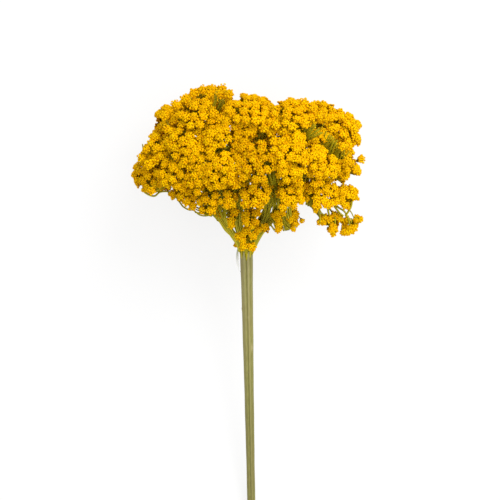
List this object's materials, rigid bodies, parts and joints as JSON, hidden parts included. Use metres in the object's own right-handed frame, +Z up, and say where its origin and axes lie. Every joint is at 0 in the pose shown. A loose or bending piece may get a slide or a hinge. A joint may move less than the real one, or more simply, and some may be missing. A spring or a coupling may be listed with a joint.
{
  "type": "yarrow flower stem",
  "caption": "Cut stem of golden yarrow lying on its side: a grooved green stem that forks into stalks under a broad, flat-topped head of yellow flower clusters.",
  "frame": {"origin": "on the table, under the middle of the whole flower's bounding box", "axes": "+Y along the stem from its cut end towards the flower head, +Z up from the table"},
  "size_m": [0.0988, 0.1912, 0.0747],
  "materials": {
    "flower_heads": "matte yellow florets",
    "stalks": "matte olive green plant stalk",
    "stem": "matte grooved olive green plant stem",
    "bract": "thin dry leaf tissue"
  },
  "bodies": {
    "root": {"bract": "bract", "branch_back": "stalks", "branch_front": "stalks", "branch_left": "stalks", "branch_left_back": "stalks", "branch_left_front": "stalks", "branch_middle": "stalks", "branch_right": "stalks", "branch_right_back": "stalks", "branch_right_front": "stalks", "cluster_back_left": "flower_heads", "cluster_back_left_corner": "flower_heads", "cluster_back_left_rim": "flower_heads", "cluster_back_low_left": "flower_heads", "cluster_back_low_right": "flower_heads", "cluster_back_middle": "flower_heads", "cluster_back_right": "flower_heads", "cluster_back_right_corner": "flower_heads", "cluster_back_right_rim": "flower_heads", "cluster_back_top_left": "flower_heads", "cluster_back_top_right": "flower_heads", "cluster_crest_left": "flower_heads", "cluster_crest_middle": "flower_heads", "cluster_crest_right": "flower_heads", "cluster_crown_left": "flower_heads", "cluster_crown_right": "flower_heads", "cluster_front_column": "flower_heads", "cluster_front_left": "flower_heads", "cluster_front_low": "flower_heads", "cluster_front_middle": "flower_heads", "cluster_front_right": "flower_heads", "cluster_hanging_inner": "flower_heads", "cluster_hanging_outer": "flower_heads", "cluster_left_band": "flower_heads", "cluster_left_cheek": "flower_heads", "cluster_left_chin": "flower_heads", "cluster_left_corner": "flower_heads", "cluster_left_foot": "flower_heads", "cluster_left_ridge": "flower_heads", "cluster_left_rim": "flower_heads", "cluster_left_shoulder": "flower_heads", "cluster_left_skirt": "flower_heads", "cluster_low_far_right": "flower_heads", "cluster_low_left": "flower_heads", "cluster_low_middle": "flower_heads", "cluster_low_right": "flower_heads", "cluster_middle_nook": "flower_heads", "cluster_middle_small": "flower_heads", "cluster_right_corner": "flower_heads", "cluster_right_edge": "flower_heads", "cluster_right_nook": "flower_heads", "cluster_right_ridge": "flower_heads", "cluster_right_rim": "flower_heads", "cluster_right_shoulder": "flower_heads", "cluster_right_skirt": "flower_heads", "cluster_right_slope": "flower_heads", "cluster_top_middle": "flower_heads", "cluster_top_right": "flower_heads", "cluster_upper_left": "flower_heads", "stem": "stem"}
  },
  "joints": []
}
